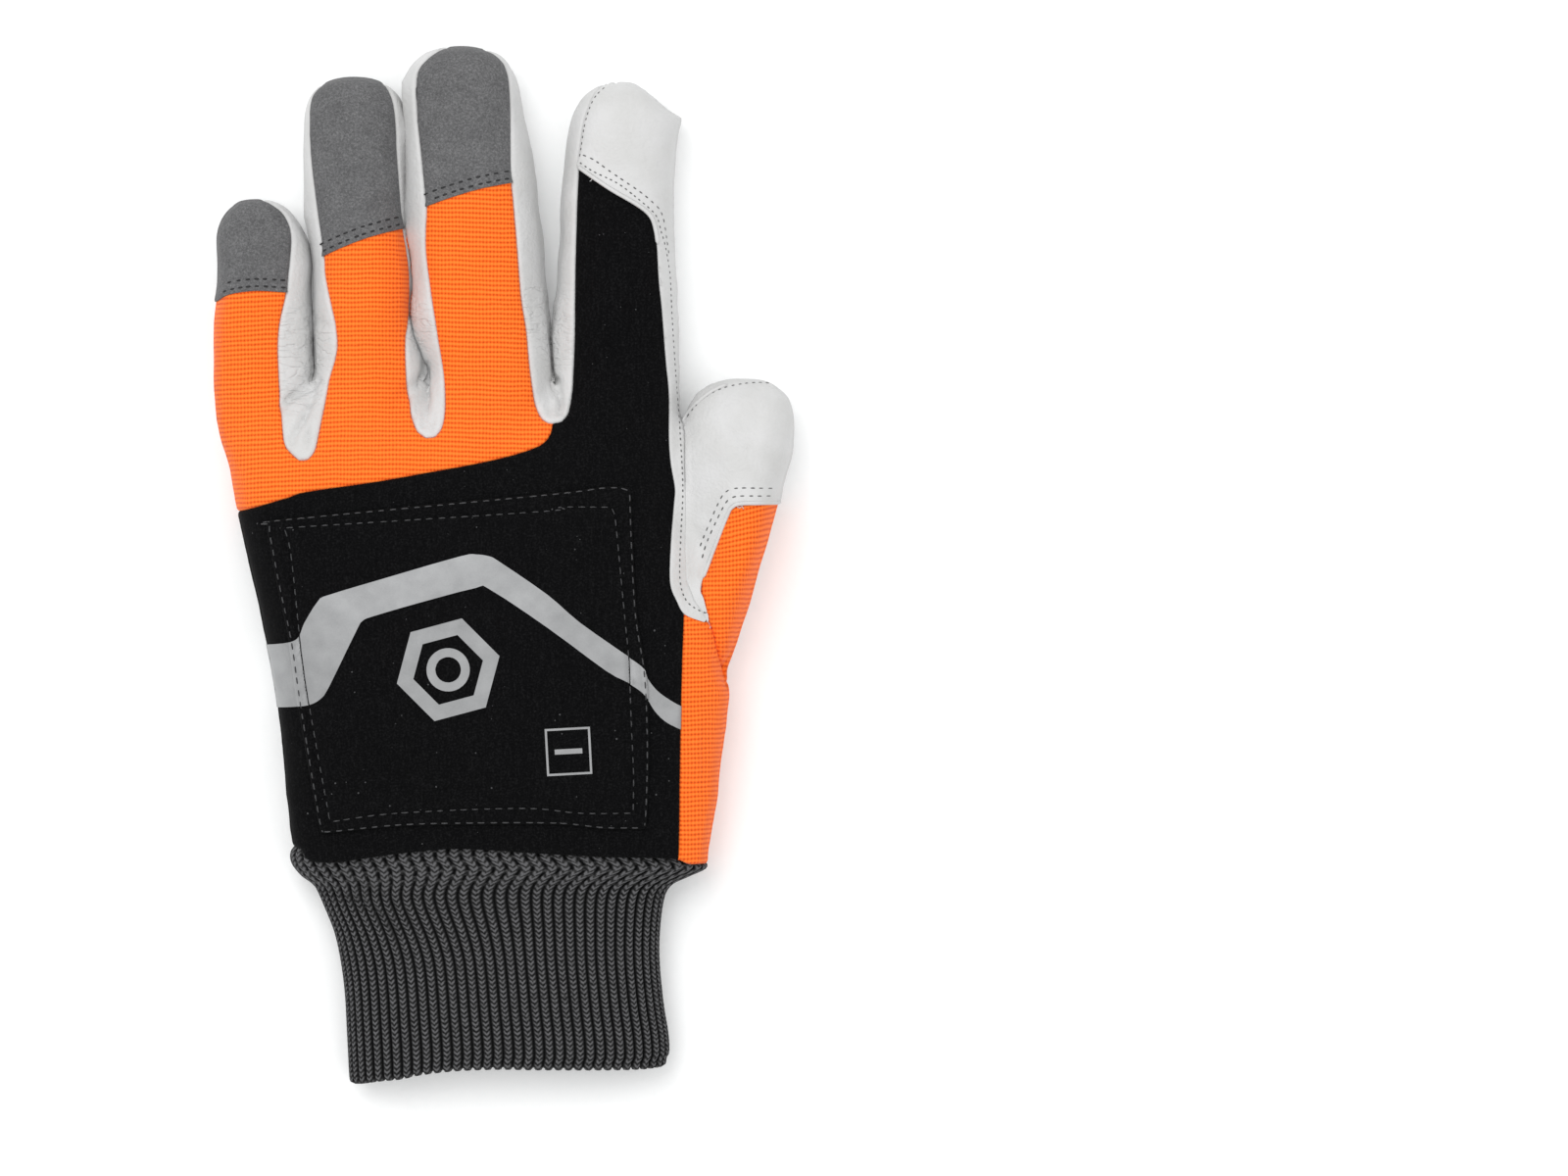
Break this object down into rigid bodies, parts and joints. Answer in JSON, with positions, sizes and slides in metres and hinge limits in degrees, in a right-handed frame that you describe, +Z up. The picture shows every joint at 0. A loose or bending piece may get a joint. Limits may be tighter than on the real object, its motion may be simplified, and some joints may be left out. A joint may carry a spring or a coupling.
{
  "type": "chainsaw glove",
  "caption": "Left-hand chainsaw work glove lying palm down: leather palm, stretch back with a stitched saw-protection pad, knitted cuff.",
  "frame": {"origin": "on the surface that the glove lies on, under the middle of its bounding box", "axes": "+Y from the cuff to the fingertips, +X towards the thumb, +Z up out of the back of the hand"},
  "size_m": [0.153, 0.2682, 0.0331],
  "materials": {
    "white_leather": "soft goat leather, off-white, fine grain",
    "grey_suede": "grey microsuede, matt",
    "orange_stretch": "bright orange ribbed stretch cloth",
    "black_softshell": "black softshell cloth, matt",
    "reflective_tape": "silver reflective tape, satin",
    "grey_knit": "dark grey ribbed knit"
  },
  "bodies": {
    "root": {"palm": "white_leather", "thumb_palm": "white_leather", "thumb_cap": "white_leather", "index_guard": "white_leather", "fourchette_little_ring": "white_leather", "fourchette_ring_middle": "white_leather", "fourchette_middle_index": "white_leather", "fingertip_little": "grey_suede", "fingertip_ring": "grey_suede", "fingertip_middle": "grey_suede", "knuckle_panel": "orange_stretch", "thumb_back": "orange_stretch", "side_gusset": "orange_stretch", "hand_back": "black_softshell", "saw_pad": "black_softshell", "tape_little_side": "reflective_tape", "tape_on_pad": "reflective_tape", "tape_thumb_side": "reflective_tape", "knit_cuff": "grey_knit"}
  },
  "joints": []
}
